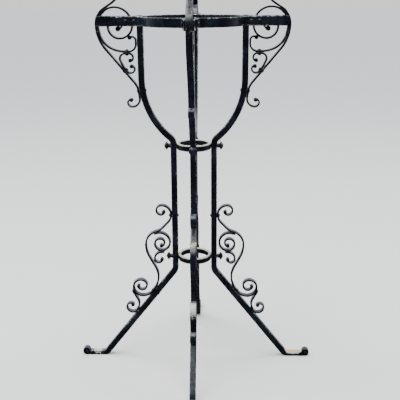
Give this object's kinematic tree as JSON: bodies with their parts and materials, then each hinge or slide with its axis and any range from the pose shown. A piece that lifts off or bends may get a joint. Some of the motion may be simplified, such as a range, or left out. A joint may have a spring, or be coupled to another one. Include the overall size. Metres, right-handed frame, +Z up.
{
  "type": "umbrella stand",
  "caption": "Wrought-iron umbrella stand: square-bar legs rise through small rings and open to a flat-bar top ring, with riveted scroll panels outside each leg.",
  "frame": {"origin": "on the floor under the centre of the four feet", "axes": "+Z up, along the stand's centre line; -Y is the front, and each foot points along X or Y"},
  "size_m": [0.52, 0.52, 0.844],
  "materials": {
    "bar_iron": "hand-brushed black gloss paint over forged square bar",
    "scroll_iron": "hand-brushed black gloss paint over forged strap",
    "frame_iron": "black gloss paint, worn and chipped at the edges",
    "ring_iron": "black gloss paint, rubbed through to pale primer at the rims",
    "fixings": "hammered heads under black gloss paint"
  },
  "bodies": {
    "root": {"leg_front": "bar_iron", "upper_strap_front": "scroll_iron", "wreath_scroll_front": "scroll_iron", "inner_scroll_front": "scroll_iron", "lower_strap_front": "scroll_iron", "belly_scroll_front": "scroll_iron", "hook_scroll_front": "scroll_iron", "tail_scroll_front": "scroll_iron", "clamp_front": "frame_iron", "ring_quadrant_front_right": "frame_iron", "leg_right": "bar_iron", "upper_strap_right": "scroll_iron", "wreath_scroll_right": "scroll_iron", "inner_scroll_right": "scroll_iron", "lower_strap_right": "scroll_iron", "belly_scroll_right": "scroll_iron", "hook_scroll_right": "scroll_iron", "tail_scroll_right": "scroll_iron", "clamp_right": "frame_iron", "ring_quadrant_right_back": "frame_iron", "leg_back": "bar_iron", "upper_strap_back": "scroll_iron", "wreath_scroll_back": "scroll_iron", "inner_scroll_back": "scroll_iron", "lower_strap_back": "scroll_iron", "belly_scroll_back": "scroll_iron", "hook_scroll_back": "scroll_iron", "tail_scroll_back": "scroll_iron", "clamp_back": "frame_iron", "ring_quadrant_back_left": "frame_iron", "leg_left": "bar_iron", "upper_strap_left": "scroll_iron", "wreath_scroll_left": "scroll_iron", "inner_scroll_left": "scroll_iron", "lower_strap_left": "scroll_iron", "belly_scroll_left": "scroll_iron", "hook_scroll_left": "scroll_iron", "tail_scroll_left": "scroll_iron", "clamp_left": "frame_iron", "ring_quadrant_left_front": "frame_iron", "upper_ring": "ring_iron", "lower_ring": "ring_iron", "upper_ring_studs": "fixings", "lower_ring_studs": "fixings", "upper_scroll_rivets": "fixings", "lower_scroll_rivets": "fixings", "frame_rivets": "fixings"}
  },
  "joints": []
}
